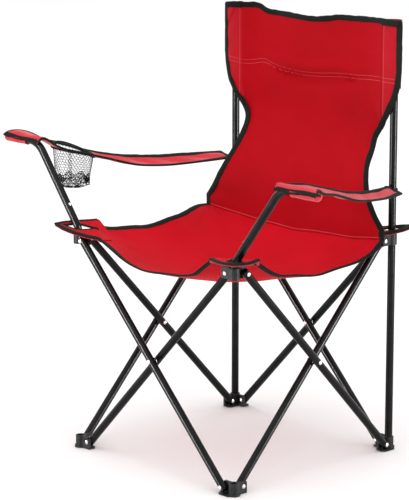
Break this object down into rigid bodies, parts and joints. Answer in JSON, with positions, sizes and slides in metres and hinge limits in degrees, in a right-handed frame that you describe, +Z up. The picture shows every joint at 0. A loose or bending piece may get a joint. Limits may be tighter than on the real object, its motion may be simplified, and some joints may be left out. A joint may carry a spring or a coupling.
{
  "type": "folding camp chair",
  "caption": "Folding camp chair: crossed tube frame on moulded feet, slung cloth seat and back, cloth arms and a mesh cup holder.",
  "frame": {"origin": "centre of the footprint on the floor", "axes": "+Z up, -Y is the front of the chair, +X is the sitter's left"},
  "size_m": [0.7904, 0.4622, 0.788],
  "materials": {
    "black_paint": "gloss",
    "moulded_black": "satin",
    "end_plug": "satin",
    "nickel": "bright",
    "seat_cloth": "woven polyester",
    "back_cloth": "woven polyester",
    "arm_cloth": "woven polyester",
    "black_binding": "woven tape",
    "black_mesh": "hexagonal mesh"
  },
  "bodies": {
    "rear_right": {"rear_right_foot": "moulded_black", "rear_right_foot_rivets": "nickel", "rear_right_upright": "black_paint", "rear_right_top_plug": "end_plug", "back_panel": "back_cloth", "right_back_pocket": "back_cloth"},
    "rear_left": {"rear_left_foot": "moulded_black", "rear_left_foot_rivets": "nickel", "rear_left_upright": "black_paint", "rear_left_top_plug": "end_plug", "left_back_pocket": "back_cloth"},
    "right_arm_loop": {"right_arm_loop": "black_binding"},
    "left_arm_loop": {"left_arm_loop": "black_binding"},
    "front_right_foot": {"front_right_foot": "moulded_black", "front_right_foot_rivets": "nickel"},
    "front_left_foot": {"front_left_foot": "moulded_black", "front_left_foot_rivets": "nickel"},
    "front_right_hub": {"front_right_hub": "moulded_black", "front_right_hub_rivets": "nickel", "front_right_patch": "seat_cloth"},
    "front_left_hub": {"front_left_hub": "moulded_black", "front_left_hub_rivets": "nickel", "front_left_patch": "seat_cloth"},
    "rear_right_slider": {"rear_right_slider": "moulded_black", "rear_right_slider_rivets": "nickel", "rear_right_patch": "seat_cloth"},
    "rear_left_slider": {"rear_left_slider": "moulded_black", "rear_left_slider_rivets": "nickel", "rear_left_patch": "seat_cloth"},
    "right_arm_post": {"right_arm_post": "black_paint", "right_post_plug": "end_plug", "right_post_screw": "nickel", "right_arm_hem": "arm_cloth"},
    "left_arm_post": {"left_arm_post": "black_paint", "left_post_plug": "end_plug", "left_post_screw": "nickel", "left_arm_hem": "arm_cloth"},
    "right_armrest": {"right_armrest": "arm_cloth", "cup_rim": "black_binding", "cup_mesh": "black_mesh"},
    "left_armrest": {"left_armrest": "arm_cloth"},
    "front_right_seat": {"front_right_seat": "seat_cloth"},
    "front_left_seat": {"front_left_seat": "seat_cloth"},
    "rear_right_seat": {"rear_right_seat": "seat_cloth"},
    "rear_left_seat": {"rear_left_seat": "seat_cloth"},
    "front_inner": {"front_inner_tube": "black_paint"},
    "front_outer": {"front_outer_tube": "black_paint", "front_centre_rivet": "nickel"},
    "left_inner": {"left_inner_tube": "black_paint"},
    "left_outer": {"left_outer_tube": "black_paint", "left_centre_rivet": "nickel"},
    "rear_inner": {"rear_inner_tube": "black_paint"},
    "rear_outer": {"rear_outer_tube": "black_paint", "rear_centre_rivet": "nickel"},
    "right_inner": {"right_inner_tube": "black_paint"},
    "right_outer": {"right_outer_tube": "black_paint", "right_centre_rivet": "nickel"}
  },
  "joints": [
    {"name": "fold", "type": "hinge", "parent": "rear_right", "child": "right_inner", "pos_m": [-0.19225, 0.18, 0.0125], "axis": [-1, 0, 0], "range_deg": [0, 41], "deforming": ["front_right_seat", "front_left_seat", "rear_right_seat", "rear_left_seat", "front_right_patch", "front_left_patch", "rear_right_patch", "rear_left_patch", "back_panel", "right_back_pocket", "left_back_pocket", "right_arm_hem", "left_arm_hem", "right_armrest", "left_armrest", "cup_rim", "cup_mesh", "right_arm_loop", "left_arm_loop"]},
    {"name": "right_cross", "type": "hinge", "parent": "right_inner", "child": "right_outer", "pos_m": [-0.2, 0, 0.20225], "axis": [-1, 0, 0], "range_deg": [-82, 0]},
    {"name": "front_right_foot_pin", "type": "hinge", "parent": "right_outer", "child": "front_right_foot", "pos_m": [-0.20775, -0.18, 0.0125], "axis": [-1, 0, 0], "range_deg": [0, 41]},
    {"name": "front_right_hub_pin", "type": "hinge", "parent": "right_inner", "child": "front_right_hub", "pos_m": [-0.19225, -0.18, 0.392], "axis": [-1, 0, 0], "range_deg": [-41, 0]},
    {"name": "rear_right_slider_pin", "type": "hinge", "parent": "right_outer", "child": "rear_right_slider", "pos_m": [-0.20775, 0.18, 0.392], "axis": [-1, 0, 0], "range_deg": [0, 41]},
    {"name": "front_inner_pin", "type": "hinge", "parent": "front_right_foot", "child": "front_inner", "pos_m": [-0.18, -0.19225, 0.0125], "axis": [0, -1, 0], "range_deg": [0, 41]},
    {"name": "front_cross", "type": "hinge", "parent": "front_inner", "child": "front_outer", "pos_m": [0, -0.2, 0.20225], "axis": [0, -1, 0], "range_deg": [-82, 0]},
    {"name": "front_left_foot_pin", "type": "hinge", "parent": "front_outer", "child": "front_left_foot", "pos_m": [0.18, -0.20775, 0.0125], "axis": [0, -1, 0], "range_deg": [0, 41]},
    {"name": "front_left_hub_pin", "type": "hinge", "parent": "front_inner", "child": "front_left_hub", "pos_m": [0.18, -0.19225, 0.392], "axis": [0, -1, 0], "range_deg": [-41, 0]},
    {"name": "rear_outer_pin", "type": "hinge", "parent": "rear_right", "child": "rear_outer", "pos_m": [-0.18, 0.20775, 0.0125], "axis": [0, 1, 0], "range_deg": [-41, 0]},
    {"name": "rear_cross", "type": "hinge", "parent": "rear_outer", "child": "rear_inner", "pos_m": [0, 0.2, 0.20225], "axis": [0, 1, 0], "range_deg": [0, 82]},
    {"name": "rear_left_foot_pin", "type": "hinge", "parent": "rear_inner", "child": "rear_left", "pos_m": [0.18, 0.19225, 0.0125], "axis": [0, 1, 0], "range_deg": [-41, 0]},
    {"name": "rear_left_slider_pin", "type": "hinge", "parent": "rear_outer", "child": "rear_left_slider", "pos_m": [0.18, 0.20775, 0.392], "axis": [0, 1, 0], "range_deg": [0, 41]},
    {"name": "left_inner_pin", "type": "hinge", "parent": "front_left_foot", "child": "left_inner", "pos_m": [0.19225, -0.18, 0.0125], "axis": [1, 0, 0], "range_deg": [0, 41]},
    {"name": "left_cross", "type": "hinge", "parent": "left_inner", "child": "left_outer", "pos_m": [0.2, 0, 0.20225], "axis": [1, 0, 0], "range_deg": [-82, 0]},
    {"name": "right_arm_swivel", "type": "hinge", "parent": "front_right_hub", "child": "right_arm_post", "pos_m": [-0.2, -0.2, 0.404], "axis": [0, 0, -1], "range_deg": [0, 60]},
    {"name": "left_arm_swivel", "type": "hinge", "parent": "front_left_hub", "child": "left_arm_post", "pos_m": [0.2, -0.2, 0.404], "axis": [0, 0, 1], "range_deg": [0, 60]},
    {"name": "right_arm_slide", "type": "slide", "parent": "rear_right", "child": "right_arm_loop", "axis": [0, 0, 1], "range_m": [0, 0.08464]},
    {"name": "left_arm_slide", "type": "slide", "parent": "rear_left", "child": "left_arm_loop", "axis": [0, 0, 1], "range_m": [0, 0.08464]},
    {"name": "right_arm_fold", "type": "hinge", "parent": "right_arm_loop", "child": "right_armrest", "pos_m": [-0.209, 0.186, 0.488], "axis": [-0.8581, 0.2115, -0.4679], "range_deg": [0, 100.6]},
    {"name": "left_arm_fold", "type": "hinge", "parent": "left_arm_loop", "child": "left_armrest", "pos_m": [0.209, 0.186, 0.488], "axis": [-0.8581, -0.2115, 0.4679], "range_deg": [0, 100.6]},
    {"name": "front_right_seat_fold", "type": "hinge", "parent": "front_right_hub", "child": "front_right_seat", "pos_m": [-0.17879, -0.17879, 0.406], "axis": [-0.7071, 0.7071, 0], "range_deg": [0, 70]},
    {"name": "front_left_seat_fold", "type": "hinge", "parent": "front_left_hub", "child": "front_left_seat", "pos_m": [0.17879, -0.17879, 0.406], "axis": [-0.7071, -0.7071, 0], "range_deg": [0, 70]},
    {"name": "rear_left_seat_fold", "type": "hinge", "parent": "rear_left_slider", "child": "rear_left_seat", "pos_m": [0.17879, 0.17879, 0.406], "axis": [0.7071, -0.7071, 0], "range_deg": [0, 70]},
    {"name": "rear_right_seat_fold", "type": "hinge", "parent": "rear_right_slider", "child": "rear_right_seat", "pos_m": [-0.17879, 0.17879, 0.406], "axis": [0.7071, 0.7071, 0], "range_deg": [0, 70]}
  ],
  "couplings": [
    {"joint": "right_cross", "follows": "fold", "ratio": -2},
    {"joint": "front_right_foot_pin", "follows": "fold", "ratio": 1},
    {"joint": "front_right_hub_pin", "follows": "fold", "ratio": -1},
    {"joint": "rear_right_slider_pin", "follows": "fold", "ratio": 1},
    {"joint": "front_inner_pin", "follows": "fold", "ratio": 1},
    {"joint": "front_cross", "follows": "fold", "ratio": -2},
    {"joint": "front_left_foot_pin", "follows": "fold", "ratio": 1},
    {"joint": "front_left_hub_pin", "follows": "fold", "ratio": -1},
    {"joint": "rear_outer_pin", "follows": "fold", "ratio": -1},
    {"joint": "rear_cross", "follows": "fold", "ratio": 2},
    {"joint": "rear_left_foot_pin", "follows": "fold", "ratio": -1},
    {"joint": "rear_left_slider_pin", "follows": "fold", "ratio": 1},
    {"joint": "left_inner_pin", "follows": "fold", "ratio": 1},
    {"joint": "left_cross", "follows": "fold", "ratio": -2},
    {"joint": "right_arm_swivel", "follows": "fold", "ratio": 1.4634},
    {"joint": "left_arm_swivel", "follows": "fold", "ratio": 1.4634},
    {"joint": "right_arm_slide", "follows": "fold", "m_per_rad": 0.118},
    {"joint": "left_arm_slide", "follows": "fold", "m_per_rad": 0.118},
    {"joint": "right_arm_fold", "follows": "fold", "ratio": 2.4537},
    {"joint": "left_arm_fold", "follows": "fold", "ratio": 2.4537},
    {"joint": "front_right_seat_fold", "follows": "fold", "ratio": 1.7073},
    {"joint": "front_left_seat_fold", "follows": "fold", "ratio": 1.7073},
    {"joint": "rear_left_seat_fold", "follows": "fold", "ratio": 1.7073},
    {"joint": "rear_right_seat_fold", "follows": "fold", "ratio": 1.7073}
  ]
}
